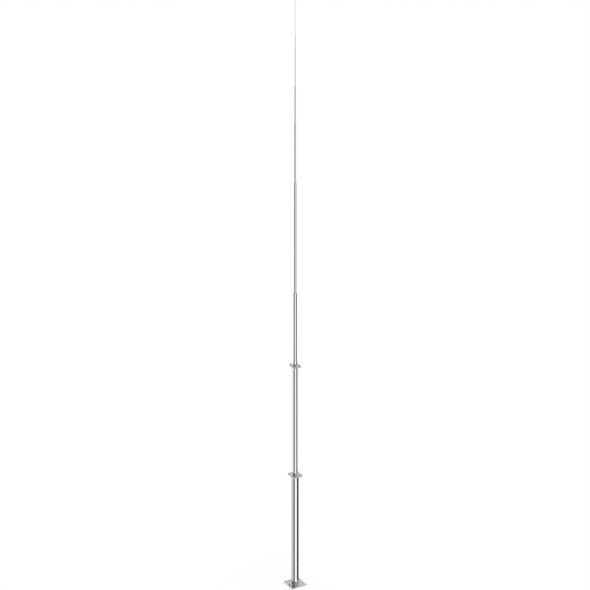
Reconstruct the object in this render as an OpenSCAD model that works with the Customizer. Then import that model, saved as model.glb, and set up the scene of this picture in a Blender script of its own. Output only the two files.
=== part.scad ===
// Sixteen metre lightning rod mast: two flanged lower tubes, a flanged upper tube,
// four telescoped tubes above it and a stepped air rod.
// Units are millimetres, +Z is up, and the origin is the centre of the base plate's underside.

/* [Section lengths] */
// Height from the ground to the lower flange joint
lower_len = 3000; // [2000:50:4000]
// Height from the lower to the upper flange joint
middle_len = 3000; // [2000:50:4000]
// Height from the upper flange joint to the head of the upper tube
upper_len = 2000; // [1500:50:3000]
// Length of the first slide tube that shows
first_show = 3000; // [1500:50:3500]
// Length of the second slide tube that shows
second_show = 1600; // [1000:50:2500]
// Length of the third slide tube that shows
third_show = 1000; // [700:50:1500]
// Length of the fourth slide tube that shows
fourth_show = 1000; // [700:50:1500]
// Length of the thick end of the air rod that shows
shank_show = 430; // [200:10:600]
// Length of the thin end of the air rod, with its point
spike_len = 1000; // [600:10:1300]

/* [Diameters] */
// Outer diameter of the lower tube
lower_d = 168.3; // [159:0.1:193.7]
// Outer diameter of the middle tube
middle_d = 114.3; // [101.6:0.1:127]
// Diameter of the thick end of the air rod, from which the slide tubes are sized outwards
shank_d = 15.6; // [12:0.1:20]
// Diameter of the thin end of the air rod
spike_d = 10; // [8:0.1:12]

/* [Room between sliding tubes] */
// Room all round the first slide tube inside the upper tube
upper_room = 9.8; // [6:0.05:14]
// Room all round the second slide tube inside the first
first_room = 4.95; // [3:0.05:8]
// Room all round the third slide tube inside the second
second_room = 2; // [1.5:0.05:5]
// Room all round the fourth slide tube inside the third
third_room = 3.4; // [2:0.05:6]
// Room all round the air rod inside the fourth slide tube
rod_room = 0.2; // [0.1:0.05:0.4]

/* [Tube walls] */
// Wall of the lower tube
lower_wall = 6; // [4:0.1:8]
// Wall of the middle tube
middle_wall = 5; // [3.6:0.1:6.3]
// Wall of the upper tube
upper_wall = 4.5; // [3.2:0.1:5.6]
// Wall of the first slide tube
first_wall = 4; // [2.9:0.1:4.5]
// Wall of the second slide tube
second_wall = 3.2; // [2.6:0.1:3.3]
// Wall of the third slide tube
third_wall = 2.6; // [2:0.1:3]
// Wall of the fourth slide tube
fourth_wall = 2; // [1.6:0.1:2]

/* [Base plate] */
// Side of the square base plate
base_side = 400; // [340:10:500]
// Thickness of the base plate
base_t = 22; // [16:1:30]
// Distance of the anchor holes from the plate's sides
anchor_edge = 45; // [35:1:60]
// Bore of the anchor holes
anchor_d = 24; // [18:1:28]
// Leg of the weld round the tube's foot
base_weld_leg = 10; // [6:1:14]

/* [Flange joints] */
// Thickness of every flange plate
flange_t = 22; // [16:1:30]
// Side of the two square plates of the lower joint
lower_flange_side = 250; // [230:5:300]
// Side of the two square plates of the upper joint
upper_flange_side = 200; // [180:5:240]
// Distance of the bolt holes from the flange plates' sides
flange_bolt_edge = 22; // [20:1:28]
// Bore of the bolt holes
flange_hole_d = 18; // [14:1:20]
// Bore of the opening in the middle of the lower joint's plates
lower_opening_d = 80; // [40:5:90]
// Bore of the opening in the middle of the upper joint's plates
upper_opening_d = 60; // [30:5:65]
// Leg of the welds between tubes and flange plates
flange_weld_leg = 7; // [4:1:9]

/* [Plate edges] */
// Radius of the plates' corners
corner_r = 5; // [3:1:12]
// Width of the bevel along the plates' sides
edge_break = 1.5; // [0.5:0.5:2.5]

/* [Earthing lug] */
// Width of the lug, square to the side of the base plate that it stands at
lug_w = 25; // [20:1:40]
// Height of the lug above the base plate
lug_h = 45; // [40:1:70]
// Thickness of the lug
lug_t = 8; // [5:1:10]
// Distance of the lug from the plate's side
lug_inset = 3; // [2:1:20]
// Distance of the lug's middle from the middle of the plate's side
lug_shift = 53; // [20:1:80]
// Bore of the lug's hole
lug_hole_d = 11; // [9:1:14]
// Height of the hole above the base plate
lug_hole_h = 30; // [24:1:30]
// Radius of the lug's upper corners
lug_corner_r = 9; // [4:1:10]
// Leg of the welds along the lug's two faces
lug_weld_leg = 4; // [2:0.5:6]

/* [Slide joints] */
// Length of the first slide tube inside the upper tube
first_overlap = 500; // [450:10:700]
// Length of the second slide tube inside the first
second_overlap = 350; // [340:10:500]
// Length of the third slide tube inside the second
third_overlap = 200; // [150:10:300]
// Length of the fourth slide tube inside the third
fourth_overlap = 150; // [120:10:250]
// Length of the air rod inside the fourth slide tube
rod_overlap = 70; // [50:5:120]
// Height of the straight edge of a head ring's cap
cap_edge_h = 4; // [2:1:10]
// Slope of the conical face between that edge and the cap's crest, in degrees
cap_slope = 45; // [30:5:60]
// Width of the flat crest round the tube that slides in the ring
cap_crest_w = 3; // [2.7:0.1:3.4]
// Length of the spigot and of the foot ring in a welded slide joint
plain_ring_len = 40; // [20:5:60]
// Thickness of the lip that a slide tube stands on in its foot ring
lip_t = 6; // [3:1:10]
// Clearance between a ring and the tube that it is fixed to
ring_gap = 0.15; // [0.05:0.05:0.2]
// Clearance between a ring and the tube that slides past it
slide_gap = 0.3; // [0.1:0.05:0.35]
// Leg of the welds at the necks of the welded slide joints
neck_weld_leg = 2.4; // [1:0.1:2.5]
// Leg of the weld round the air rod
rod_weld_leg = 1.9; // [1:0.1:2]

/* [Clamp screws] */
// Diameter of the clamp screws
clamp_d = 8; // [6:1:12]
// Depth of the upper tube's higher screw below its head
upper_clamp_high = 70; // [50:5:120]
// Depth of the upper tube's lower screw below its head
upper_clamp_low = 470; // [300:5:470]
// Depth of the first slide tube's higher screw below its head
first_clamp_high = 115; // [60:5:140]
// Depth of the first slide tube's lower screw below its head
first_clamp_low = 305; // [250:5:310]
// Diameter of the bosses that carry the screws
boss_d = 18; // [16:1:26]
// Height of the bosses above the tube's wall
boss_h = 5; // [4:0.5:10]
// Width of the bevel round the bosses
boss_bevel = 1; // [0.5:0.5:1.5]
// Length of ring beyond the middle of a clamp screw
ring_past_screw = 30; // [16:1:45]

/* [Air rod] */
// Length of the cone between the rod's two diameters
shoulder_len = 8; // [2:1:30]
// Length of the point
point_len = 45; // [20:1:80]
// Radius of the point's end
point_r = 1.5; // [0.5:0.1:3]

/* [Hidden] */
$fn = 96;
// Extra depth of a cutter past the face that it cuts
past = 1;
// Flat facets across the face of a weld, and how far that face bulges, as a share of its leg
weld_facets = 5;
weld_bulge = 0.12;
// Facets round the end of the rod's point
point_facets = 4;

// Outer diameters of the sliding tubes, each from what slides in it
fourth_d = shank_d + 2 * (rod_room + fourth_wall);
third_d = fourth_d + 2 * (third_room + third_wall);
second_d = third_d + 2 * (second_room + second_wall);
first_d = second_d + 2 * (first_room + first_wall);
upper_d = first_d + 2 * (upper_room + upper_wall);

// Heights of the joints and tube heads
lower_joint_z = lower_len;
upper_joint_z = lower_joint_z + middle_len;
upper_head_z = upper_joint_z + upper_len;
first_head_z = upper_head_z + first_show;
second_head_z = first_head_z + second_show;
third_head_z = second_head_z + third_show;
fourth_head_z = third_head_z + fourth_show;
shoulder_z = fourth_head_z + shank_show;
tip_z = shoulder_z + spike_len;

// Height of a head ring's cap above the end of its tube
function cap_height(outer_d, inner_d) =
    cap_edge_h + ((outer_d - inner_d) / 2 - slide_gap - cap_crest_w) * tan(cap_slope);
upper_cap_h = cap_height(upper_d, first_d);
first_cap_h = cap_height(first_d, second_d);
second_cap_h = cap_height(second_d, third_d);
third_cap_h = cap_height(third_d, fourth_d);

// Lengths of the spigots and foot rings in the two clamped joints
upper_spigot_len = upper_clamp_high + ring_past_screw - upper_cap_h;
first_spigot_len = first_clamp_high + ring_past_screw - first_cap_h;
first_foot_ring_len = first_overlap - upper_clamp_low + ring_past_screw;
second_foot_ring_len = second_overlap - first_clamp_low + ring_past_screw;

// Square with round corners, centred on the axis
module rounded_square(side, r) {
    square([side, side - 2 * r], center = true);
    square([side - 2 * r, side], center = true);
    for (x = [-1, 1], y = [-1, 1])
        translate([x * (side / 2 - r), y * (side / 2 - r)]) circle(r);
}

// Cross-section of a plate with its four long edges bevelled
module bevelled_section(side, t, bevel) {
    half = side / 2;
    polygon([
        [-half, bevel], [-half + bevel, 0], [half - bevel, 0], [half, bevel],
        [half, t - bevel], [half - bevel, t], [-half + bevel, t], [-half, t - bevel]
    ]);
}

// Four upright holes at the corners of a square
module corner_holes(spacing, d, t) {
    for (x = [-1, 1], y = [-1, 1])
        translate([x * spacing / 2, y * spacing / 2, -past]) cylinder(d = d, h = t + 2 * past);
}

// Square plate lying on z = 0, with round corners, bevelled sides and four corner holes
module drilled_plate(side, t, hole_edge, hole_d) {
    difference() {
        intersection() {
            linear_extrude(t) rounded_square(side, corner_r);
            rotate([90, 0, 0]) linear_extrude(side + 2 * past, center = true)
                bevelled_section(side, t, edge_break);
            rotate([90, 0, 90]) linear_extrude(side + 2 * past, center = true)
                bevelled_section(side, t, edge_break);
        }
        corner_holes(side - 2 * hole_edge, hole_d, t);
    }
}

// Flange plate: a drilled plate with an opening in its middle
module flange_plate(side, opening_d) {
    difference() {
        drilled_plate(side, flange_t, flange_bolt_edge, flange_hole_d);
        translate([0, 0, -past]) cylinder(d = opening_d, h = flange_t + 2 * past);
    }
}

// Upright tube from z0 to z1
module tube(d, wall, z0, z1) {
    translate([0, 0, z0]) difference() {
        cylinder(d = d, h = z1 - z0);
        translate([0, 0, -past]) cylinder(d = d - 2 * wall, h = z1 - z0 + 2 * past);
    }
}

// Points across a weld's face, from the plate to the tube
function weld_face(leg) = [
    for (i = [0 : weld_facets])
        let (t = i / weld_facets, bulge = leg * weld_bulge * sin(180 * t))
        [leg * (1 - t) + bulge, leg * t + bulge]
];

// Fillet weld round a tube of diameter d: it lies on z = 0 and climbs the tube
module fillet_weld(d, leg) {
    rotate_extrude() translate([d / 2, 0]) polygon(concat([[0, 0]], weld_face(leg)));
}

// The same weld hanging under a plate
module hanging_weld(d, leg) {
    mirror([0, 0, 1]) fillet_weld(d, leg);
}

// Head ring: a conical cap on the end of the outer tube, with a spigot down inside it.
// Its crest is at z = 0, and the inner tube passes through it.
module head_ring(outer_d, outer_wall, inner_d, spigot_len) {
    cap_r = outer_d / 2;
    seat_z = -cap_height(outer_d, inner_d);
    spigot_r = cap_r - outer_wall - ring_gap;
    bore_r = inner_d / 2 + slide_gap;
    rotate_extrude() polygon([
        [bore_r, 0], [bore_r + cap_crest_w, 0], [cap_r, seat_z + cap_edge_h], [cap_r, seat_z],
        [spigot_r, seat_z], [spigot_r, seat_z - spigot_len], [bore_r, seat_z - spigot_len]
    ]);
}

// Foot ring: a bush round the foot of the inner tube, with a lip that the tube stands on.
// Its underside is at z = 0, and it slides in the outer tube.
module foot_ring(outer_d, outer_wall, inner_d, inner_wall, len) {
    slide_r = outer_d / 2 - outer_wall - slide_gap;
    seat_r = inner_d / 2 + ring_gap;
    bore_r = inner_d / 2 - inner_wall;
    rotate_extrude() polygon([
        [bore_r, 0], [slide_r, 0], [slide_r, len], [seat_r, len], [seat_r, lip_t], [bore_r, lip_t]
    ]);
}

// Cutter for a clamp screw's hole, from the axis out past the boss on the -X side
module clamp_hole(d, z) {
    translate([0, 0, z]) rotate([0, -90, 0]) cylinder(d = clamp_d, h = d / 2 + boss_h + past);
}

// Boss on the -X side of a tube of diameter d, saddled on its wall
module clamp_boss(d, z) {
    difference() {
        translate([0, 0, z]) rotate([0, -90, 0]) {
            cylinder(d = boss_d, h = d / 2 + boss_h - boss_bevel);
            translate([0, 0, d / 2 + boss_h - boss_bevel])
                cylinder(d1 = boss_d, d2 = boss_d - 2 * boss_bevel, h = boss_bevel);
        }
        translate([0, 0, z - boss_d]) cylinder(d = d, h = 2 * boss_d);
        clamp_hole(d, z);
    }
}

module base_plate() {
    color("silver") drilled_plate(base_side, base_t, anchor_edge, anchor_d);
}

module base_weld() {
    color("darkgray") translate([0, 0, base_t]) fillet_weld(lower_d, base_weld_leg);
}

// Outline of the lug, standing on its foot, with two round upper corners
module lug_outline() {
    translate([-lug_w / 2, 0]) square([lug_w, lug_h - lug_corner_r]);
    translate([-lug_w / 2 + lug_corner_r, 0]) square([lug_w - 2 * lug_corner_r, lug_h]);
    for (x = [-1, 1])
        translate([x * (lug_w / 2 - lug_corner_r), lug_h - lug_corner_r]) circle(lug_corner_r);
}

// Places its children at the middle of the lug's foot
module at_lug() {
    translate([(lug_w - base_side) / 2 + lug_inset, -lug_shift, base_t]) children();
}

module earthing_lug() {
    color("silver") at_lug() rotate([90, 0, 0]) difference() {
        linear_extrude(lug_t, center = true) lug_outline();
        translate([0, lug_hole_h, 0]) cylinder(d = lug_hole_d, h = lug_t + 2 * past, center = true);
    }
}

// A straight weld along the foot of each face of the lug
module earthing_lug_welds() {
    color("darkgray") at_lug() for (side = [-1, 1])
        rotate([90, 0, side * 90]) translate([lug_t / 2, 0, 0])
            linear_extrude(lug_w, center = true) polygon(concat([[0, 0]], weld_face(lug_weld_leg)));
}

module lower_tube() {
    color("silver") tube(lower_d, lower_wall, base_t, lower_joint_z - flange_t);
}

module lower_head_flange() {
    color("silver") translate([0, 0, lower_joint_z - flange_t])
        flange_plate(lower_flange_side, lower_opening_d);
}

module lower_head_weld() {
    color("darkgray") translate([0, 0, lower_joint_z - flange_t]) hanging_weld(lower_d, flange_weld_leg);
}

module middle_foot_flange() {
    color("silver") translate([0, 0, lower_joint_z]) flange_plate(lower_flange_side, lower_opening_d);
}

module middle_foot_weld() {
    color("darkgray") translate([0, 0, lower_joint_z + flange_t]) fillet_weld(middle_d, flange_weld_leg);
}

module middle_tube() {
    color("silver") tube(middle_d, middle_wall, lower_joint_z + flange_t, upper_joint_z - flange_t);
}

module middle_head_flange() {
    color("silver") translate([0, 0, upper_joint_z - flange_t])
        flange_plate(upper_flange_side, upper_opening_d);
}

module middle_head_weld() {
    color("darkgray") translate([0, 0, upper_joint_z - flange_t]) hanging_weld(middle_d, flange_weld_leg);
}

module upper_foot_flange() {
    color("silver") translate([0, 0, upper_joint_z]) flange_plate(upper_flange_side, upper_opening_d);
}

module upper_foot_weld() {
    color("darkgray") translate([0, 0, upper_joint_z + flange_t]) fillet_weld(upper_d, flange_weld_leg);
}

module upper_tube() {
    color("silver") difference() {
        tube(upper_d, upper_wall, upper_joint_z + flange_t, upper_head_z - upper_cap_h);
        clamp_hole(upper_d, upper_head_z - upper_clamp_high);
        clamp_hole(upper_d, upper_head_z - upper_clamp_low);
    }
}

module upper_head_ring() {
    color("lightgray") difference() {
        translate([0, 0, upper_head_z]) head_ring(upper_d, upper_wall, first_d, upper_spigot_len);
        clamp_hole(upper_d, upper_head_z - upper_clamp_high);
    }
}

module upper_clamp_bosses() {
    color("gray") {
        clamp_boss(upper_d, upper_head_z - upper_clamp_high);
        clamp_boss(upper_d, upper_head_z - upper_clamp_low);
    }
}

module first_slide_tube() {
    color("silver") difference() {
        tube(first_d, first_wall, upper_head_z - first_overlap + lip_t, first_head_z - first_cap_h);
        clamp_hole(first_d, first_head_z - first_clamp_high);
        clamp_hole(first_d, first_head_z - first_clamp_low);
    }
}

module first_slide_foot_ring() {
    color("lightgray") translate([0, 0, upper_head_z - first_overlap])
        foot_ring(upper_d, upper_wall, first_d, first_wall, first_foot_ring_len);
}

module first_slide_head_ring() {
    color("lightgray") difference() {
        translate([0, 0, first_head_z]) head_ring(first_d, first_wall, second_d, first_spigot_len);
        clamp_hole(first_d, first_head_z - first_clamp_high);
    }
}

module first_slide_clamp_bosses() {
    color("gray") {
        clamp_boss(first_d, first_head_z - first_clamp_high);
        clamp_boss(first_d, first_head_z - first_clamp_low);
    }
}

module second_slide_tube() {
    color("silver")
        tube(second_d, second_wall, first_head_z - second_overlap + lip_t, second_head_z - second_cap_h);
}

module second_slide_foot_ring() {
    color("lightgray") translate([0, 0, first_head_z - second_overlap])
        foot_ring(first_d, first_wall, second_d, second_wall, second_foot_ring_len);
}

module second_slide_head_ring() {
    color("lightgray") translate([0, 0, second_head_z])
        head_ring(second_d, second_wall, third_d, plain_ring_len);
}

module third_slide_tube() {
    color("silver")
        tube(third_d, third_wall, second_head_z - third_overlap + lip_t, third_head_z - third_cap_h);
}

module third_slide_foot_ring() {
    color("lightgray") translate([0, 0, second_head_z - third_overlap])
        foot_ring(second_d, second_wall, third_d, third_wall, plain_ring_len);
}

module third_slide_neck_weld() {
    color("darkgray") translate([0, 0, second_head_z]) fillet_weld(third_d, neck_weld_leg);
}

module third_slide_head_ring() {
    color("lightgray") translate([0, 0, third_head_z])
        head_ring(third_d, third_wall, fourth_d, plain_ring_len);
}

module fourth_slide_tube() {
    color("silver") tube(fourth_d, fourth_wall, third_head_z - fourth_overlap + lip_t, fourth_head_z);
}

module fourth_slide_foot_ring() {
    color("lightgray") translate([0, 0, third_head_z - fourth_overlap])
        foot_ring(third_d, third_wall, fourth_d, fourth_wall, plain_ring_len);
}

module fourth_slide_neck_weld() {
    color("darkgray") translate([0, 0, third_head_z]) fillet_weld(fourth_d, neck_weld_leg);
}

// Half outline of the rod's point, from its widest place to its round end on the axis
function point_outline() = concat(
    [[spike_d / 2, tip_z - point_len]],
    [for (i = [0 : point_facets])
        let (a = 90 * i / point_facets)
        [point_r * cos(a), tip_z - point_r + point_r * sin(a)]]
);

module air_rod() {
    color("silver") rotate_extrude() polygon(concat(
        [
            [0, fourth_head_z - rod_overlap], [shank_d / 2, fourth_head_z - rod_overlap],
            [shank_d / 2, shoulder_z - shoulder_len], [spike_d / 2, shoulder_z]
        ],
        point_outline()
    ));
}

module air_rod_weld() {
    color("darkgray") translate([0, 0, fourth_head_z]) fillet_weld(shank_d, rod_weld_leg);
}

base_plate();
base_weld();
earthing_lug();
earthing_lug_welds();
lower_tube();
lower_head_flange();
lower_head_weld();
middle_foot_flange();
middle_foot_weld();
middle_tube();
middle_head_flange();
middle_head_weld();
upper_foot_flange();
upper_foot_weld();
upper_tube();
upper_head_ring();
upper_clamp_bosses();
first_slide_tube();
first_slide_foot_ring();
first_slide_head_ring();
first_slide_clamp_bosses();
second_slide_tube();
second_slide_foot_ring();
second_slide_head_ring();
third_slide_tube();
third_slide_foot_ring();
third_slide_neck_weld();
third_slide_head_ring();
fourth_slide_tube();
fourth_slide_foot_ring();
fourth_slide_neck_weld();
air_rod();
air_rod_weld();
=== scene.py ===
import math

import bmesh
import bpy
from mathutils import Matrix, Vector


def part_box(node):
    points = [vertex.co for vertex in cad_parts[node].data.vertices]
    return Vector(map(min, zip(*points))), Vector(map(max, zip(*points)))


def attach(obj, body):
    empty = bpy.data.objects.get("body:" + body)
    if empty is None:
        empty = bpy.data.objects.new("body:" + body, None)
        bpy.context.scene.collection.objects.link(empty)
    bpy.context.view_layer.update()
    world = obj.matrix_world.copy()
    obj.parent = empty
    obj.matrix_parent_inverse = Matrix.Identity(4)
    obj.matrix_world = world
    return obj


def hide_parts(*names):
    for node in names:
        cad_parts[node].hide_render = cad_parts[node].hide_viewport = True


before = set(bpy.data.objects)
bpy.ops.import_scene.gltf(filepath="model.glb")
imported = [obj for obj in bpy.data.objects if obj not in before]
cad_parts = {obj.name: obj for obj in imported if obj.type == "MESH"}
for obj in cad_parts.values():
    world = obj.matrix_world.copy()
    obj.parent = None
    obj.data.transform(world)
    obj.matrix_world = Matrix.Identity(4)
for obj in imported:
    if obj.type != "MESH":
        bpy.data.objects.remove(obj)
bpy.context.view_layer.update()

MM = 0.001
BODY = "root"

# View: the camera stands far off, so that upright lines stay parallel
VIEW_AZIMUTH = math.radians(-30)
VIEW_ELEVATION = math.radians(30)
LENS = 1700
SENSOR = 36
FRAME_WIDTH = 13.975
AIM_HEIGHT = 7.94
AIM_SIDE = -2 * MM
CLIP_START = 10
CLIP_END = 2000

# Thickness of the tubes' walls
WALLS = {
    "lower_tube": 6.0 * MM,
    "middle_tube": 5.0 * MM,
    "upper_tube": 4.5 * MM,
    "first_slide_tube": 4.0 * MM,
    "second_slide_tube": 3.2 * MM,
    "third_slide_tube": 2.6 * MM,
    "fourth_slide_tube": 2.0 * MM,
}
TUBE_SIDES = 128
EDGE_BREAK = 0.5 * MM
# Vertices closer to each other than this are made one
MERGE_DISTANCE = 0.002 * MM
# Edges that turn more than this, in degrees, stay sharp
SHARP_ANGLE = 35
BEAD_SHARP_ANGLE = 60
FASTENER_SHARP_ANGLE = 25
# Tubes drilled for clamp screws, with the bosses over the holes
DRILLED = {"upper_tube": "upper_clamp_bosses", "first_slide_tube": "first_slide_clamp_bosses"}
# Distance from a hole's middle to the rings of the tube's mesh beside it, both under the boss
HOLE_BAND = 7 * MM
DRILL_SIDES = 32

# Air rod
ROD_SIDES = 48
TIP_STEPS = 6

# Weld beads: the distance from ripple to ripple, and depth and bulge as shares of the leg
RING_BEAD_PITCH = 3 * MM
LUG_BEAD_PITCH = 2.5 * MM
RIPPLE_DEPTH = 0.06
BEAD_BULGE = 0.12
# The fewest ripples in a bead, the steps along each ripple and the steps across the bead
FEWEST_RIPPLES = 6
STEPS_PER_RIPPLE = 6
STEPS_ACROSS = 10
# How far a ripple's crescent leans, in radians, how sharp its groove is and how it fades at the toes
RIPPLE_LEAN = 4.5
GROOVE_SHARPNESS = 0.8
TOE_FADE = 0.5
# Unevenness along a bead: of the ripples' places in radians, and of the width as a share,
# with the numbers of waves that each follows and the offset between those waves
PLACE_WANDER = 1.4
PLACE_WAVES = (3, 7, 11)
WIDTH_WANDER = 0.06
WIDTH_WAVES = (5, 9, 16)
WAVE_OFFSET = 0.37

# Flange bolts
BOLT = {
    "Thread": 16 * MM,
    "Pitch": 2 * MM,
    "Flats": 24 * MM,
    "Head Height": 10 * MM,
    "Nut Height": 13 * MM,
    "Washer Width": 30 * MM,
    "Washer Thickness": 3 * MM,
}
# A bolt's end past its nut, the length of its thread, and from a plate's edge to a bolt's axis
BOLT_END = 7 * MM
BOLT_THREADED = 38 * MM
FLANGE_BOLT_EDGE = 22 * MM

# Clamp screws
SCREW = {
    "Thread": 8 * MM,
    "Pitch": 1.25 * MM,
    "Flats": 13 * MM,
    "Head Height": 5.3 * MM,
}
# Gap from a boss to the screw's head, and the plain length under the head
SCREW_SHOWS = 2.5 * MM
SCREW_PLAIN = 1 * MM

# Hexagons and washers: the radius of a hexagon's flat face as a share of its width across
# flats, the slope of its chamfer, and a washer's broken edge as a share of its thickness
FACE_SHARE = 0.475
CHAMFER_ANGLE = math.radians(30)
WASHER_BREAK = 0.15
# A washer's hole and a nut's sink, as shares of the thread's radius
WASHER_HOLE = 1.06
NUT_SINK = 1.08
# Depths of the nut's bore and of the thread's groove, as shares of the pitch
NUT_BORE_DEPTH = 0.3
THREAD_DEPTH = 0.6
# Where the flank of the thread's groove starts and ends, from the crest at 0 to the root at 1
FLANK_START = 0.1
FLANK_END = 0.9
# Whole turns that keep the helix's count of turns above zero
SPARE_TURNS = 64.0
FASTENER_SIDES = 48
THREAD_SIDES = 32
RINGS_PER_PITCH = 10
# Seeds for the turn of each hexagon
LOWER_BOLTS_SEED = 2
UPPER_BOLTS_SEED = 4
HIGH_SCREW_SEED = 3
LOW_SCREW_SEED = 5

# Floor: half its width, its squares along a side, its grey and glow near the mast, and
# the distances where the soft shade starts to fade and where all is white
FLOOR_REACH = 60
FLOOR_SQUARES = 8
FLOOR_GREY = 0.5
FLOOR_GLOW = 0.62
SHADE_FADES = 0.5
SHADE_ENDS = 2.5


# ---------------------------------------------------------------- node trees


class Value:
    """A socket's value that can stand in a Python expression."""

    def __init__(self, graph, socket):
        self.graph = graph
        self.socket = socket

    def __add__(self, other):
        return self.graph.maths("ADD", self, other)

    def __radd__(self, other):
        return self.graph.maths("ADD", other, self)

    def __sub__(self, other):
        return self.graph.maths("SUBTRACT", self, other)

    def __rsub__(self, other):
        return self.graph.maths("SUBTRACT", other, self)

    def __mul__(self, other):
        return self.graph.maths("MULTIPLY", self, other)

    def __rmul__(self, other):
        return self.graph.maths("MULTIPLY", other, self)

    def __truediv__(self, other):
        return self.graph.maths("DIVIDE", self, other)

    def __neg__(self):
        return self.graph.maths("MULTIPLY", self, -1)


class Graph:
    """Adds nodes to one tree and wires them."""

    def __init__(self, tree):
        self.tree = tree

    def node(self, kind, settings=None, inputs=None, output=0):
        """Adds a node: settings first, then the values or links of its sockets."""
        node = self.tree.nodes.new(kind)
        for key, setting in (settings or {}).items():
            if key == "stops":
                self.set_stops(node.color_ramp, setting)
            else:
                setattr(node, key, setting)
        for key, value in (inputs or {}).items():
            self.feed(node.inputs[key], value)
        return Value(self, node.outputs[output])

    def set_stops(self, ramp, stops):
        """Gives a ramp its smooth curve through grey stops of (position, brightness)."""
        ramp.interpolation = "CARDINAL"
        while len(ramp.elements) < len(stops):
            ramp.elements.new(0.5)
        for element, (position, brightness) in zip(ramp.elements, stops):
            element.position = position
            element.color = (brightness, brightness, brightness, 1.0)

    def feed(self, socket, value):
        """Links a value to a socket, or writes a plain number, vector or colour on it."""
        for item in value if isinstance(value, list) else [value]:
            if isinstance(item, Value):
                self.tree.links.new(item.socket, socket)
            else:
                socket.default_value = item

    def maths(self, operation, *values):
        return self.node("ShaderNodeMath", {"operation": operation}, dict(enumerate(values)))

    def vector(self, x=0.0, y=0.0, z=0.0):
        return self.node("ShaderNodeCombineXYZ", {}, {"X": x, "Y": y, "Z": z})

    def parts(self, vector):
        """The three numbers of a vector."""
        node = self.node("ShaderNodeSeparateXYZ", {}, {"Vector": vector}).socket.node
        return [Value(self, socket) for socket in node.outputs]

    def choose(self, index, values):
        """The value at the given place in a list."""
        node = self.tree.nodes.new("GeometryNodeIndexSwitch")
        node.data_type = "FLOAT"
        while len(node.index_switch_items) < len(values):
            node.index_switch_items.new()
        self.feed(node.inputs["Index"], index)
        for place, value in enumerate(values):
            self.feed(node.inputs[str(place)], value)
        return Value(self, node.outputs[0])

    def between(self, value, low, high, start=0.0, end=1.0):
        """Eases from start to end as the value goes from low to high."""
        return self.node(
            "ShaderNodeMapRange",
            {"interpolation_type": "SMOOTHSTEP"},
            {"Value": value, "From Min": low, "From Max": high, "To Min": start, "To Max": end},
        )


# ---------------------------------------------------------------- materials


def metal(name, tone, roughness):
    """A metal with the given tone and roughness, and the graph that varies it."""
    material = bpy.data.materials.new(name)
    material.use_nodes = True
    graph = Graph(material.node_tree)
    shader = material.node_tree.nodes["Principled BSDF"]
    shader.inputs["Metallic"].default_value = 1.0
    shader.inputs["Base Color"].default_value = tone + (1.0,)
    shader.inputs["Roughness"].default_value = roughness
    place = graph.node("ShaderNodeTexCoord", output="Object")
    return material, graph, shader, place


def shaded(tone, share):
    """A tone made lighter or darker by a share of itself."""
    return tuple(min(1.0, channel * share) for channel in tone) + (1.0,)


def blend_tone(graph, factor, tone, low, high):
    """A colour between a darker and a lighter version of a tone."""
    return graph.node(
        "ShaderNodeMix",
        {"data_type": "RGBA"},
        {"Factor": factor, 6: shaded(tone, low), 7: shaded(tone, high)},
        output=2,
    )


def bumped(graph, shader, height, distance):
    """Raises the shader's surface by a height of 0 to 1 times a distance."""
    normal = graph.node("ShaderNodeBump", {}, {"Height": height, "Distance": distance})
    graph.feed(shader.inputs["Normal"], normal)


def zinc(name, tone, roughness, crystal, ripple):
    """Bright hot-dip zinc: flat crystals filled with fine needles, and a slow ripple."""
    darkest, lightest = 0.95, 1.05
    crystal_tone, needle_tone, cloud_tone = 0.45, 0.35, 0.2
    crystal_roughness, needle_roughness, cloud_roughness = 0.03, 0.08, 0.03
    needle_stretch = 7.0
    needle_scale = 0.8 / crystal
    needle_height = 0.05
    cloud_scale = 12.0
    wave_scale = 14.0
    material, graph, shader, place = metal(name, tone, roughness)
    drift = graph.node(
        "ShaderNodeTexNoise",
        {},
        {"Vector": place, "Scale": 1 / crystal, "Detail": 2.0},
        output="Color",
    )
    bent = graph.node(
        "ShaderNodeVectorMath",
        {"operation": "MULTIPLY_ADD"},
        {0: drift, 1: (crystal, crystal, crystal), 2: place},
    )
    cells = graph.node("ShaderNodeTexVoronoi", {}, {"Vector": bent, "Scale": 1 / crystal}, output="Color")
    grain, lean, _ = graph.parts(cells)
    heading = graph.node(
        "ShaderNodeVectorMath", {"operation": "SCALE"}, {0: cells, "Scale": 2 * math.pi}
    )
    turned = graph.node(
        "ShaderNodeVectorRotate", {"rotation_type": "EULER_XYZ"}, {"Vector": place, "Rotation": heading}
    )
    drawn = graph.node(
        "ShaderNodeVectorMath",
        {"operation": "MULTIPLY"},
        {0: turned, 1: (1.0, needle_stretch, needle_stretch)},
    )
    needles = graph.node("ShaderNodeTexNoise", {}, {"Vector": drawn, "Scale": needle_scale, "Detail": 3.0})
    cloud = graph.node("ShaderNodeTexNoise", {}, {"Vector": place, "Scale": cloud_scale, "Detail": 3.0})
    sheen = grain * crystal_tone + needles * needle_tone + cloud * cloud_tone
    graph.feed(shader.inputs["Base Color"], blend_tone(graph, sheen, tone, darkest, lightest))
    crystal_change = (lean - 0.5) * crystal_roughness
    needle_change = (needles - 0.5) * needle_roughness
    cloud_change = (cloud - 0.5) * cloud_roughness
    graph.feed(shader.inputs["Roughness"], roughness + crystal_change + needle_change + cloud_change)
    wave = graph.node("ShaderNodeTexNoise", {}, {"Vector": place, "Scale": wave_scale, "Detail": 1.0})
    bumped(graph, shader, wave + needles * needle_height, ripple)
    return material


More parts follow.
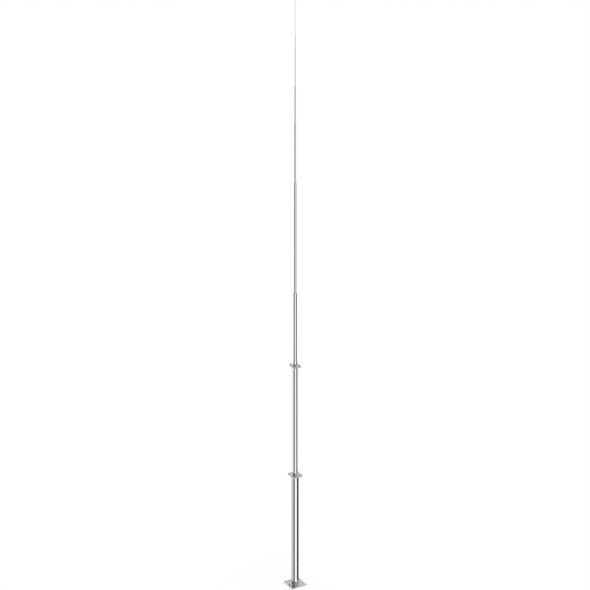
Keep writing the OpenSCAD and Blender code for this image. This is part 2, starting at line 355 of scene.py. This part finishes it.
def weld_zinc(name, tone, roughness):
    """Zinc over a weld bead: duller, with small flecks."""
    darkest, lightest = 0.85, 1.1
    fleck_scale = 420.0
    fleck_roughness = 0.2
    fleck_height = 0.15 * MM
    cloud_scale = 45.0
    material, graph, shader, place = metal(name, tone, roughness)
    fleck = graph.node("ShaderNodeTexNoise", {}, {"Vector": place, "Scale": fleck_scale, "Detail": 3.0})
    cloud = graph.node("ShaderNodeTexNoise", {}, {"Vector": place, "Scale": cloud_scale, "Detail": 2.0})
    graph.feed(shader.inputs["Base Color"], blend_tone(graph, cloud, tone, darkest, lightest))
    graph.feed(shader.inputs["Roughness"], roughness + (fleck - 0.5) * fleck_roughness)
    bumped(graph, shader, fleck, fleck_height)
    return material


def turned_steel(name, tone, roughness):
    """Turned and plated steel: fine rings round the mast's axis."""
    darkest, lightest = 0.94, 1.05
    ring_scale = 4000.0
    ring_roughness = 0.16
    ring_height = 0.02 * MM
    cloud_scale = 60.0
    material, graph, shader, place = metal(name, tone, roughness)
    x, y, z = graph.parts(place)
    radius = graph.maths("SQRT", x * x + y * y)
    rings = graph.node(
        "ShaderNodeTexNoise",
        {},
        {"Vector": graph.vector(radius * ring_scale, 0.0, z * ring_scale), "Scale": 1.0, "Detail": 2.0},
    )
    cloud = graph.node("ShaderNodeTexNoise", {}, {"Vector": place, "Scale": cloud_scale, "Detail": 2.0})
    graph.feed(shader.inputs["Base Color"], blend_tone(graph, cloud, tone, darkest, lightest))
    graph.feed(shader.inputs["Roughness"], roughness + (rings - 0.5) * ring_roughness)
    bumped(graph, shader, rings, ring_height)
    return material


def drawn_steel(name, tone, roughness):
    """Bright drawn rod: fine streaks along its length."""
    darkest, lightest = 0.95, 1.04
    across, along = 2500.0, 8.0
    streak_roughness = 0.12
    streak_height = 0.01 * MM
    cloud_scale = 12.0
    material, graph, shader, place = metal(name, tone, roughness)
    x, y, z = graph.parts(place)
    streaks = graph.node(
        "ShaderNodeTexNoise",
        {},
        {"Vector": graph.vector(x * across, y * across, z * along), "Scale": 1.0, "Detail": 2.0},
    )
    cloud = graph.node("ShaderNodeTexNoise", {}, {"Vector": place, "Scale": cloud_scale, "Detail": 2.0})
    graph.feed(shader.inputs["Base Color"], blend_tone(graph, cloud, tone, darkest, lightest))
    graph.feed(shader.inputs["Roughness"], roughness + (streaks - 0.5) * streak_roughness)
    bumped(graph, shader, streaks, streak_height)
    return material


def floor_paint():
    """Pale floor: it glows white far off, and shows soft shade round the mast's foot."""
    material = bpy.data.materials.new("pale_floor")
    material.use_nodes = True
    tree = material.node_tree
    tree.nodes.clear()
    graph = Graph(tree)
    x, y, _ = graph.parts(graph.node("ShaderNodeTexCoord", output="Object"))
    reach = graph.maths("SQRT", x * x + y * y)
    near = graph.between(reach, SHADE_FADES, SHADE_ENDS, 1.0, 0.0)
    grey = (FLOOR_GREY, FLOOR_GREY, FLOOR_GREY, 1.0)
    paint = graph.node("ShaderNodeBsdfDiffuse", {}, {"Color": grey})
    glow = graph.node("ShaderNodeEmission", {}, {"Strength": FLOOR_GLOW})
    lit = graph.node("ShaderNodeAddShader", {}, {0: paint, 1: glow})
    white = graph.node("ShaderNodeEmission", {}, {"Strength": 1.0})
    mixed = graph.node("ShaderNodeMixShader", {}, {"Fac": near, 1: white, 2: lit})
    output = tree.nodes.new("ShaderNodeOutputMaterial")
    tree.links.new(mixed.socket, output.inputs["Surface"])
    return material


# ---------------------------------------------------------------- meshes


def radius_of(node):
    """Half the width of a round CAD piece."""
    low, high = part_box(node)
    return (high.x - low.x) / 2


def add_object(name, bm):
    """Puts a bmesh into the scene as an object."""
    mesh = bpy.data.meshes.new(name)
    bm.to_mesh(mesh)
    bm.free()
    piece = bpy.data.objects.new(name, mesh)
    bpy.context.scene.collection.objects.link(piece)
    return piece


def finish_mesh(name, bm, material, sharp_angle=SHARP_ANGLE, drills=()):
    """Makes a piece of a bmesh: normals outwards, holes drilled, smooth but for sharp edges."""
    bmesh.ops.remove_doubles(bm, verts=bm.verts, dist=MERGE_DISTANCE)
    bmesh.ops.recalc_face_normals(bm, faces=bm.faces)
    piece = add_object(name, bm)
    for drill in drills:
        cut(piece, drill)
    return dress(piece, material, sharp_angle)


def cut(piece, drill):
    """Takes a drill's shape out of a piece, and the drill away."""
    modifier = piece.modifiers.new("hole", "BOOLEAN")
    modifier.operation = "DIFFERENCE"
    modifier.solver = "EXACT"
    modifier.object = drill
    depsgraph = bpy.context.evaluated_depsgraph_get()
    mesh = bpy.data.meshes.new_from_object(piece.evaluated_get(depsgraph))
    piece.modifiers.remove(modifier)
    piece.data = mesh
    bpy.data.objects.remove(drill)


def screw_drill(reach, height):
    """The drill for a clamp screw's hole, from the mast's axis out on the -X side."""
    radius = SCREW["Thread"] / 2
    place = Matrix.Translation((-reach / 2, 0, height)) @ Matrix.Rotation(math.pi / 2, 4, "Y")
    bm = bmesh.new()
    bmesh.ops.create_cone(
        bm,
        cap_ends=True,
        segments=DRILL_SIDES,
        radius1=radius,
        radius2=radius,
        depth=reach,
        matrix=place,
    )
    return add_object("screw_drill", bm)


def screw_heights(bosses):
    """The heights of the lower and the higher clamp screw, from the bosses that carry them."""
    low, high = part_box(bosses)
    boss_radius = (high.y - low.y) / 2
    return low.z + boss_radius, high.z - boss_radius


def dress(piece, material, sharp_angle=SHARP_ANGLE):
    """Gives a piece its material and shading, and lets it ride on the mast."""
    piece.data.materials.clear()
    piece.data.materials.append(material)
    piece.data.shade_smooth()
    piece.data.set_sharp_from_angle(angle=math.radians(sharp_angle))
    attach(piece, BODY)
    return piece


def turn(name, outline, material, sides=TUBE_SIDES, drills=()):
    """Turns a closed outline of (radius, height) pairs round the mast's axis."""
    bm = bmesh.new()
    angles = [2 * math.pi * i / sides for i in range(sides)]
    rings = []
    for radius, height in outline:
        if radius:
            places = [(radius * math.cos(a), radius * math.sin(a), height) for a in angles]
        else:
            places = [(0, 0, height)]
        rings.append([bm.verts.new(place) for place in places])
    for ring, following in zip(rings, rings[1:] + rings[:1]):
        for i in range(sides):
            j = (i + 1) % sides
            corners = [
                ring[i % len(ring)],
                ring[j % len(ring)],
                following[j % len(following)],
                following[i % len(following)],
            ]
            corners = list(dict.fromkeys(corners))
            if len(corners) > 2:
                bm.faces.new(corners)
    return finish_mesh(name, bm, material, drills=drills)


def smooth_tube(node, material):
    """A tube with finely rounded walls and broken edges, in the place of a CAD tube."""
    low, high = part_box(node)
    outer = radius_of(node)
    inner = outer - WALLS[node]
    holes = screw_heights(DRILLED[node]) if node in DRILLED else ()
    bands = [height + side * HOLE_BAND for height in holes for side in (-1, 1)]
    outline = [(outer, low.z + EDGE_BREAK)]
    outline += [(outer, height) for height in bands]
    outline += [(outer, high.z - EDGE_BREAK), (outer - EDGE_BREAK, high.z), (inner, high.z)]
    outline += [(inner, height) for height in reversed(bands)]
    outline += [(inner, low.z), (outer - EDGE_BREAK, low.z)]
    drills = [screw_drill(2 * outer, height) for height in holes]
    piece = turn(node + "_wall", outline, material, drills=drills)
    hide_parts(node)


def smooth_rod(material):
    """The air rod: thick below, thin above, with a round-ended point."""
    low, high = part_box("air_rod")
    shank = radius_of("air_rod")
    spike = 5 * MM
    spike_length = 1.0
    shoulder = 8 * MM
    point = 45 * MM
    end = 1.5 * MM
    outline = [
        (0, low.z),
        (shank - EDGE_BREAK, low.z),
        (shank, low.z + EDGE_BREAK),
        (shank, high.z - spike_length - shoulder),
        (spike, high.z - spike_length),
        (spike, high.z - point),
    ]
    for i in range(TIP_STEPS + 1):
        a = math.radians(90 * i / TIP_STEPS)
        radius = end * math.cos(a) if i < TIP_STEPS else 0
        outline.append((radius, high.z - end + end * math.sin(a)))
    piece = turn("air_rod_drawn", outline, material, sides=ROD_SIDES)
    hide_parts("air_rod")


def bead_face(leg):
    """Points across a weld's bulging face, from its outer toe to the wall it stands on."""
    points = []
    for i in range(STEPS_ACROSS + 1):
        t = i / STEPS_ACROSS
        bulge = leg * BEAD_BULGE * math.sin(math.pi * t)
        points.append(Vector((leg * (1 - t) + bulge, leg * t + bulge)))
    return points


def ripple(phase, crossing, depth):
    """Depth of the groove between two ripples, which lean in crescents across the bead."""
    arch = 4 * crossing * (1 - crossing)
    wave = 0.5 + 0.5 * math.cos(phase + RIPPLE_LEAN * arch)
    fade = math.sin(math.pi * crossing) ** TOE_FADE
    return depth * fade * (1 - wave ** GROOVE_SHARPNESS)


def wander(s, waves):
    """A slow wobble of -1 to 1 along a bead, which closes where the bead meets itself."""
    return sum(math.sin(2 * math.pi * (n * s + WAVE_OFFSET * n)) for n in waves) / len(waves)


def rippled_bead(bm, place, length, leg, pitch, closed):
    """Lays a bead along a path: place(s) gives a point, its outward and its upward direction."""
    depth = RIPPLE_DEPTH * leg
    ripples = max(FEWEST_RIPPLES, round(length / pitch))
    count = ripples * STEPS_PER_RIPPLE
    face = bead_face(leg)
    rings = []
    for i in range(count if closed else count + 1):
        s = i / count
        origin, out, up = place(s)
        phase = 2 * math.pi * i / STEPS_PER_RIPPLE + PLACE_WANDER * wander(s, PLACE_WAVES)
        swell = 1 + WIDTH_WANDER * wander(s, WIDTH_WAVES)
        ring = [bm.verts.new(origin)]
        for k, point in enumerate(face):
            crossing = k / STEPS_ACROSS
            dip = ripple(phase, crossing, depth) / math.sqrt(2)
            outwards = out * (point.x * swell - dip)
            upwards = up * (point.y * swell - dip)
            ring.append(bm.verts.new(origin + outwards + upwards))
        rings.append(ring)
    pairs = zip(rings, rings[1:] + rings[:1]) if closed else zip(rings, rings[1:])
    for ring, following in pairs:
        for k in range(len(ring)):
            n = (k + 1) % len(ring)
            bm.faces.new([ring[k], ring[n], following[n], following[k]])
    if not closed:
        bm.faces.new(rings[0])
        bm.faces.new(rings[-1])


def ring_weld(node, tube_node, material, upwards):
    """A rippled bead round a tube, in the place of a CAD weld."""
    low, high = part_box(node)
    radius = radius_of(tube_node)
    leg = high.z - low.z
    start = low.z if upwards else high.z
    up = Vector((0, 0, 1 if upwards else -1))
    bm = bmesh.new()

    def place(s):
        out = Vector((math.cos(2 * math.pi * s), math.sin(2 * math.pi * s), 0))
        return out * radius + Vector((0, 0, start)), out, up

    rippled_bead(bm, place, 2 * math.pi * radius, leg, RING_BEAD_PITCH, closed=True)
    piece = finish_mesh(node + "_bead", bm, material, BEAD_SHARP_ANGLE)
    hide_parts(node)


def lug_welds(material):
    """The two straight beads along the foot of the earthing lug's faces."""
    low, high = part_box("earthing_lug_welds")
    lug_low, lug_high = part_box("earthing_lug")
    up = Vector((0, 0, 1))
    bm = bmesh.new()
    for y, side in ((lug_low.y, -1), (lug_high.y, 1)):
        def place(s):
            return Vector((low.x + (high.x - low.x) * s, y, low.z)), Vector((0, side, 0)), up

        rippled_bead(bm, place, high.x - low.x, high.z - low.z, LUG_BEAD_PITCH, closed=False)
    piece = finish_mesh("earthing_lug_beads", bm, material, BEAD_SHARP_ANGLE)
    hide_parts("earthing_lug_welds")


# ---------------------------------------------------------------- fasteners


def fastener_tree():
    """A hexagon-headed screw with washers and a nut, repeated at the corners of a square.

    The face under the head is at height zero, and the thread runs down from it.
    """
    tree = bpy.data.node_groups.new("hexagon_fastener", "GeometryNodeTree")
    sockets = [
        ("Thread", "Float"), ("Pitch", "Float"), ("Length", "Float"), ("Threaded Length", "Float"),
        ("Thread Rings", "Int"), ("Flats", "Float"), ("Head Height", "Float"), ("Nut Height", "Float"),
        ("Nut Depth", "Float"), ("Washer Width", "Float"), ("Washer Thickness", "Float"),
        ("With Nut", "Bool"), ("Corners", "Int"), ("Spacing", "Float"), ("Seed", "Int"),
        ("Place", "Vector"), ("Turn", "Vector"), ("Finish", "Material"),
    ]
    for name, kind in sockets:
        tree.interface.new_socket(name=name, in_out="INPUT", socket_type="NodeSocket" + kind)
    tree.interface.new_socket(name="Geometry", in_out="OUTPUT", socket_type="NodeSocketGeometry")
    graph = Graph(tree)
    entry = tree.nodes.new("NodeGroupInput")
    size = {name: Value(graph, entry.outputs[name]) for name, _ in sockets}
    bolt_radius = size["Thread"] * 0.5
    x, y, z = graph.parts(graph.node("GeometryNodeInputPosition"))
    around = graph.maths("ARCTAN2", y, x)
    corner = graph.maths("WRAP", around, math.pi / 6, -math.pi / 6)
    hexagon = size["Flats"] * 0.5 / graph.maths("COSINE", corner)
    face = size["Flats"] * FACE_SHARE
    droop = (hexagon - face) * math.tan(CHAMFER_ANGLE)

    def tube(radius, depth, vertices, segments, caps):
        return graph.node(
            "GeometryNodeMeshCylinder",
            {"fill_type": caps},
            {"Vertices": vertices, "Side Segments": segments, "Radius": radius, "Depth": depth},
        )

    def shaped(outline):
        """Turns an outline of (radius, height) pairs, which may change with the angle."""
        last = len(outline) - 1
        ring = graph.node(
            "FunctionNodeFloatToInt", {"rounding_mode": "ROUND"}, {0: (z + 0.5) * last}
        )
        radius = graph.choose(ring, [r for r, _ in outline])
        height = graph.choose(ring, [h for _, h in outline])
        bent = graph.node(
            "GeometryNodeSetPosition",
            {},
            {
                "Geometry": tube(1.0, 1.0, FASTENER_SIDES, last, "NONE"),
                "Position": graph.vector(x * radius, y * radius, height),
            },
        )
        return graph.node(
            "GeometryNodeMergeByDistance", {}, {"Geometry": bent, "Distance": MERGE_DISTANCE}
        )

    def moved(geometry, height):
        return graph.node(
            "GeometryNodeTransform", {}, {"Geometry": geometry, "Translation": graph.vector(z=height)}
        )

    def thread():
        """The threaded end: a right-handed helix cut in a bar, with its tip bevelled."""
        length = size["Threaded Length"]
        bar = tube(bolt_radius, length, THREAD_SIDES, size["Thread Rings"], "NGON")
        from_tip = z + length * 0.5
        turns = z / size["Pitch"] - around / (2 * math.pi) + SPARE_TURNS
        wave = graph.maths("PINGPONG", turns, 0.5) * 2.0
        groove = graph.between(wave, FLANK_START, FLANK_END) * size["Pitch"] * THREAD_DEPTH
        radius = bolt_radius - graph.maths("MAXIMUM", groove, size["Pitch"] - from_tip)
        share = radius / bolt_radius
        place = graph.vector(x * share, y * share, z)
        return graph.node("GeometryNodeSetPosition", {}, {"Geometry": bar, "Position": place})

    head_height = size["Head Height"]
    head = shaped(
        [
            (0.0, 0.0),
            (face, 0.0),
            (hexagon, droop),
            (hexagon, head_height - droop),
            (face, head_height),
            (0.0, head_height),
        ]
    )

    nut_height = size["Nut Height"]
    bore = bolt_radius - size["Pitch"] * NUT_BORE_DEPTH
    sink = bolt_radius * NUT_SINK
    lead = sink - bore
    nut = shaped(
        [
            (bore, lead),
            (sink, 0.0),
            (face, 0.0),
            (hexagon, droop),
            (hexagon, nut_height - droop),
            (face, nut_height),
            (sink, nut_height),
            (bore, nut_height - lead),
            (bore, lead),
        ]
    )

    rim = size["Washer Width"] * 0.5
    flat = size["Washer Thickness"]
    hole = bolt_radius * WASHER_HOLE
    break_width = flat * WASHER_BREAK
    washer = shaped(
        [
            (hole, 0.0),
            (rim - break_width, 0.0),
            (rim, break_width),
            (rim, flat - break_width),
            (rim - break_width, flat),
            (hole, flat),
            (hole, 0.0),
        ]
    )
    nut_side = graph.node(
        "GeometryNodeJoinGeometry",
        {},
        {
            0: [
                moved(washer, -flat),
                moved(washer, -size["Nut Depth"]),
                moved(nut, -(size["Nut Depth"] + nut_height)),
            ]
        },
    )
    nut_side = graph.node(
        "GeometryNodeSwitch", {"input_type": "GEOMETRY"}, {"Switch": size["With Nut"], "True": nut_side}
    )

    plain_length = size["Length"] - size["Threaded Length"]
    shank = tube(bolt_radius, plain_length, FASTENER_SIDES, 1, "NGON")
    whole = graph.node(
        "GeometryNodeJoinGeometry",
        {},
        {
            0: [
                head,
                moved(shank, -plain_length * 0.5),
                moved(thread(), size["Threaded Length"] * 0.5 - size["Length"]),
                nut_side,
            ]
        },
    )
    corners = graph.node(
        "GeometryNodeMeshGrid",
        {},
        {
            "Size X": size["Spacing"],
            "Size Y": size["Spacing"],
            "Vertices X": size["Corners"],
            "Vertices Y": size["Corners"],
        },
    )
    twist = graph.node(
        "FunctionNodeRandomValue",
        {"data_type": "FLOAT_VECTOR"},
        {"Min": (0.0, 0.0, 0.0), "Max": (0.0, 0.0, math.pi / 3), "Seed": size["Seed"]},
    )
    copies = graph.node(
        "GeometryNodeInstanceOnPoints", {}, {"Points": corners, "Instance": whole, "Rotation": twist}
    )
    placed = graph.node(
        "GeometryNodeTransform",
        {},
        {"Geometry": copies, "Translation": size["Place"], "Rotation": size["Turn"]},
    )
    real = graph.node("GeometryNodeRealizeInstances", {}, {"Geometry": placed})
    done = graph.node("GeometryNodeSetMaterial", {}, {"Geometry": real, "Material": size["Finish"]})
    leave = tree.nodes.new("NodeGroupOutput")
    tree.links.new(done.socket, leave.inputs["Geometry"])
    return tree


def grow(name, tree, sizes):
    """Runs a Geometry Nodes tree with the given sizes and keeps the result as a plain mesh."""
    piece = bpy.data.objects.new(name, bpy.data.meshes.new(name))
    bpy.context.scene.collection.objects.link(piece)
    modifier = piece.modifiers.new("grow", "NODES")
    modifier.node_group = tree
    for item in tree.interface.items_tree:
        if item.in_out == "INPUT" and item.name in sizes:
            modifier[item.identifier] = sizes[item.name]
    depsgraph = bpy.context.evaluated_depsgraph_get()
    mesh = bpy.data.meshes.new_from_object(piece.evaluated_get(depsgraph))
    piece.modifiers.remove(modifier)
    piece.data = mesh
    mesh.name = name
    return piece


def thread_rings(length, pitch):
    """How many rings of faces a thread of this length needs."""
    return round(RINGS_PER_PITCH * length / pitch)


def joint_bolts(name, lower_plate, upper_plate, seed, tree, material):
    """The four bolts of a flange joint: heads above, nuts below."""
    low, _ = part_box(lower_plate)
    upper_low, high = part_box(upper_plate)
    washer = BOLT["Washer Thickness"]
    grip = high.z - low.z + 2 * washer
    length = grip + BOLT["Nut Height"] + BOLT_END
    sizes = dict(BOLT)
    sizes["Length"] = length
    sizes["Threaded Length"] = BOLT_THREADED
    sizes["Thread Rings"] = thread_rings(BOLT_THREADED, BOLT["Pitch"])
    sizes["Nut Depth"] = grip
    sizes["With Nut"] = True
    sizes["Corners"] = 2
    sizes["Spacing"] = high.x - upper_low.x - 2 * FLANGE_BOLT_EDGE
    sizes["Seed"] = seed
    sizes["Place"] = (0.0, 0.0, high.z + washer)
    sizes["Turn"] = (0.0, 0.0, 0.0)
    sizes["Finish"] = material
    piece = grow(name, tree, sizes)
    dress(piece, material, FASTENER_SHARP_ANGLE)


def clamp_screw(name, face, tip, height, seed, tree, material):
    """One clamp screw on the -X side, from its head outside a boss in to the tip's radius."""
    head = face + SCREW_SHOWS
    sizes = dict(SCREW)
    threaded = head - tip - SCREW_PLAIN
    sizes["Length"] = head - tip
    sizes["Threaded Length"] = threaded
    sizes["Thread Rings"] = thread_rings(threaded, SCREW["Pitch"])
    sizes["With Nut"] = False
    sizes["Corners"] = 1
    sizes["Spacing"] = 0.0
    sizes["Seed"] = seed
    sizes["Place"] = (-head, 0.0, height)
    sizes["Turn"] = (0.0, -math.pi / 2, 0.0)
    sizes["Finish"] = material
    return grow(name, tree, sizes)


def joined(name, pieces):
    """Joins plain meshes into one."""
    bm = bmesh.new()
    for piece in pieces:
        bm.from_mesh(piece.data)
        bpy.data.objects.remove(piece)
    return add_object(name, bm)


def clamp_screws(name, bosses, foot_ring, inner_tube, tree, material):
    """The two clamp screws of a slide joint: the higher one bears on the inner tube,
    the lower one on its foot ring."""
    face = -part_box(bosses)[0].x
    low_screw, high_screw = screw_heights(bosses)
    pieces = [
        clamp_screw(
            name + "_high", face, radius_of(inner_tube), high_screw, HIGH_SCREW_SEED, tree, material
        ),
        clamp_screw(
            name + "_low", face, radius_of(foot_ring), low_screw, LOW_SCREW_SEED, tree, material
        ),
    ]
    dress(joined(name, pieces), material, FASTENER_SHARP_ANGLE)


# ---------------------------------------------------------------- the studio


def stand_camera():
    """A very long lens at the view's angle, and colours shown as they are."""
    data = bpy.data.cameras.new("view")
    data.lens = LENS
    data.sensor_width = SENSOR
    data.clip_start = CLIP_START
    data.clip_end = CLIP_END
    camera = bpy.data.objects.new("view", data)
    bpy.context.scene.collection.objects.link(camera)
    a, e = VIEW_AZIMUTH, VIEW_ELEVATION
    back = Vector((math.sin(a) * math.cos(e), -math.cos(a) * math.cos(e), math.sin(e)))
    aim = Vector((AIM_SIDE * math.cos(a), AIM_SIDE * math.sin(a), AIM_HEIGHT))
    camera.location = aim + back * (FRAME_WIDTH * LENS / SENSOR)
    camera.rotation_mode = "QUATERNION"
    camera.rotation_quaternion = (-back).to_track_quat("-Z", "Y")
    bpy.context.scene.camera = camera
    bpy.context.scene.view_settings.view_transform = "Standard"


# Soft light and shade round the studio, as (angle, brightness): angles in degrees seen
# from above and counted from the camera's side, brightness as a share of FULL_LIGHT
FRONT = VIEW_AZIMUTH - math.pi / 2
FULL_LIGHT = 2.0
WALLS_LIGHT = [
    (-180, 0.16),
    (-150, 0.26),
    (-112, 0.55),
    (-88, 0.55),
    (-62, 0.25),
    (-30, 0.22),
    (-8, 0.28),
    (12, 0.9),
    (34, 0.98),
    (52, 0.8),
    (67, 0.06),
    (90, 0.03),
    (112, 0.02),
    (145, 0.06),
    (180, 0.16),
]
# The band of that light lies below the horizon. Its edges start and end at these heights of a
# direction, which go from -1, straight down, to 1, straight up
BAND_FOOT = (-0.72, -0.58)
BAND_TOP = (-0.42, -0.28)
# Above and below the band, the walls are more even: this much light all round, and a share
# of the walls' own
EVEN_LIGHT = 0.45
EVEN_SHARE = 0.6
# The ceiling's light, how much darker it is on its shaded side, the shade's middle and the
# angles from there where it starts and ends to fade, and the ceiling's edge as a height
CEILING_LIGHT = 0.93
CEILING_SHADE = 0.55
SHADE_SIDE = math.radians(-60)
SHADE_EDGE = (math.radians(40), math.radians(75))
CEILING_EDGE = (0.1, 0.4)


def studio_world():
    """White to the camera, and a studio of soft light and shade to the metal."""
    world = bpy.data.worlds.new("studio")
    bpy.context.scene.world = world
    world.use_nodes = True
    graph = Graph(world.node_tree)
    x, y, z = graph.parts(graph.node("ShaderNodeTexCoord", output="Generated"))
    around = graph.maths("WRAP", graph.maths("ARCTAN2", y, x) - FRONT, math.pi, -math.pi)
    stops = [((angle + 180) / 360, share) for angle, share in WALLS_LIGHT]
    share = graph.node("ShaderNodeValToRGB", {"stops": stops}, {"Fac": around / (2 * math.pi) + 0.5})
    banded = share * FULL_LIGHT
    even = EVEN_LIGHT + EVEN_SHARE * banded
    in_band = graph.between(z, *BAND_FOOT) * graph.between(z, *BAND_TOP, 1.0, 0.0)
    walls = even + in_band * (banded - even)
    away = graph.maths("ABSOLUTE", graph.maths("WRAP", around - SHADE_SIDE, math.pi, -math.pi))
    shade = graph.between(away, *SHADE_EDGE, 1.0, 0.0)
    ceiling = CEILING_LIGHT - CEILING_SHADE * shade
    upwards = graph.between(z, *CEILING_EDGE)
    light = walls + upwards * (ceiling - walls)
    ray = graph.node("ShaderNodeLightPath", output="Is Camera Ray")
    strength = light + ray * (1.0 - light)
    graph.feed(world.node_tree.nodes["Background"].inputs["Strength"], strength)
    world.node_tree.nodes["Background"].inputs["Color"].default_value = (1.0, 1.0, 1.0, 1.0)


def lay_floor():
    """The floor under the base plate, which the metal doesn't mirror."""
    bm = bmesh.new()
    bmesh.ops.create_grid(bm, x_segments=FLOOR_SQUARES, y_segments=FLOOR_SQUARES, size=FLOOR_REACH)
    floor = add_object("floor", bm)
    floor.data.materials.append(floor_paint())
    floor.visible_glossy = False


# ---------------------------------------------------------------- the mast


def dress_nodes(nodes, material):
    """Gives CAD pieces whose shape is right their finish."""
    for name in nodes:
        node = bpy.data.objects[name]
        if not node.material_slots:
            node.data.materials.append(material)
        for place in node.material_slots:
            place.material = material


stand_camera()
studio_world()
lay_floor()

# The finishes: zinc also has the width of its crystals and the height of its ripple
TUBE_TONE = (0.55, 0.555, 0.56)
SLIDE_TONE = (0.485, 0.49, 0.495)
# The lug's tone is painted shade: far darker than the other zinc, it stands in for the shade and dark
# reflection round the lug
LUG_PAINTED_SHADE_TONE = (0.19, 0.193, 0.196)
PLATE_TONE = (0.54, 0.545, 0.55)
WELD_TONE = (0.45, 0.455, 0.46)
RING_TONE = (0.72, 0.725, 0.73)
ROD_TONE = (0.43, 0.435, 0.44)
BOLT_TONE = (0.42, 0.425, 0.43)
SCREW_TONE = (0.6, 0.605, 0.61)
tube_finish = zinc("bright_zinc_tube", TUBE_TONE, roughness=0.17, crystal=9 * MM, ripple=0.05 * MM)
slide_finish = zinc("bright_zinc_slide_tube", SLIDE_TONE, roughness=0.17, crystal=6 * MM, ripple=0.04 * MM)
# The lug's finish: its own dull, rough zinc, with its colour darkened as painted shade and painted
# reflection
lug_painted_shade_finish = zinc("dull_zinc_lug_painted_shade", LUG_PAINTED_SHADE_TONE, roughness=0.42, crystal=5 * MM, ripple=0.05 * MM)
plate_finish = zinc("bright_zinc_plate", PLATE_TONE, roughness=0.22, crystal=14 * MM, ripple=0.08 * MM)
weld_finish = weld_zinc("zinc_over_weld", WELD_TONE, roughness=0.34)
ring_finish = turned_steel("turned_and_plated", RING_TONE, roughness=0.2)
rod_finish = drawn_steel("drawn_rod", ROD_TONE, roughness=0.18)
bolt_finish = zinc("bolt_zinc", BOLT_TONE, roughness=0.27, crystal=3 * MM, ripple=0.03 * MM)
screw_finish = zinc("clamp_screw_zinc", SCREW_TONE, roughness=0.27, crystal=3 * MM, ripple=0.03 * MM)

for tube_node in WALLS:
    smooth_tube(tube_node, slide_finish if "slide" in tube_node else tube_finish)
smooth_rod(rod_finish)

RING_WELDS = [
    ("base_weld", "lower_tube", True),
    ("lower_head_weld", "lower_tube", False),
    ("middle_foot_weld", "middle_tube", True),
    ("middle_head_weld", "middle_tube", False),
    ("upper_foot_weld", "upper_tube", True),
    ("third_slide_neck_weld", "third_slide_tube", True),
    ("fourth_slide_neck_weld", "fourth_slide_tube", True),
    ("air_rod_weld", "air_rod", True),
]
for weld_node, tube_node, upwards in RING_WELDS:
    ring_weld(weld_node, tube_node, weld_finish, upwards)
lug_welds(weld_finish)

fasteners = fastener_tree()
joint_bolts(
    "lower_joint_bolts",
    "lower_head_flange",
    "middle_foot_flange",
    LOWER_BOLTS_SEED,
    fasteners,
    bolt_finish,
)
joint_bolts(
    "upper_joint_bolts",
    "middle_head_flange",
    "upper_foot_flange",
    UPPER_BOLTS_SEED,
    fasteners,
    bolt_finish,
)
clamp_screws(
    "upper_clamp_screws",
    "upper_clamp_bosses",
    "first_slide_foot_ring",
    "first_slide_tube",
    fasteners,
    screw_finish,
)
clamp_screws(
    "first_slide_clamp_screws",
    "first_slide_clamp_bosses",
    "second_slide_foot_ring",
    "second_slide_tube",
    fasteners,
    screw_finish,
)

dress_nodes(
    [
        "base_plate",
        "lower_head_flange",
        "middle_foot_flange",
        "middle_head_flange",
        "upper_foot_flange",
    ],
    plate_finish,
)
dress_nodes(["earthing_lug"], lug_painted_shade_finish)
dress_nodes(
    [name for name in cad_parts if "ring" in name or "boss" in name],
    ring_finish,
)
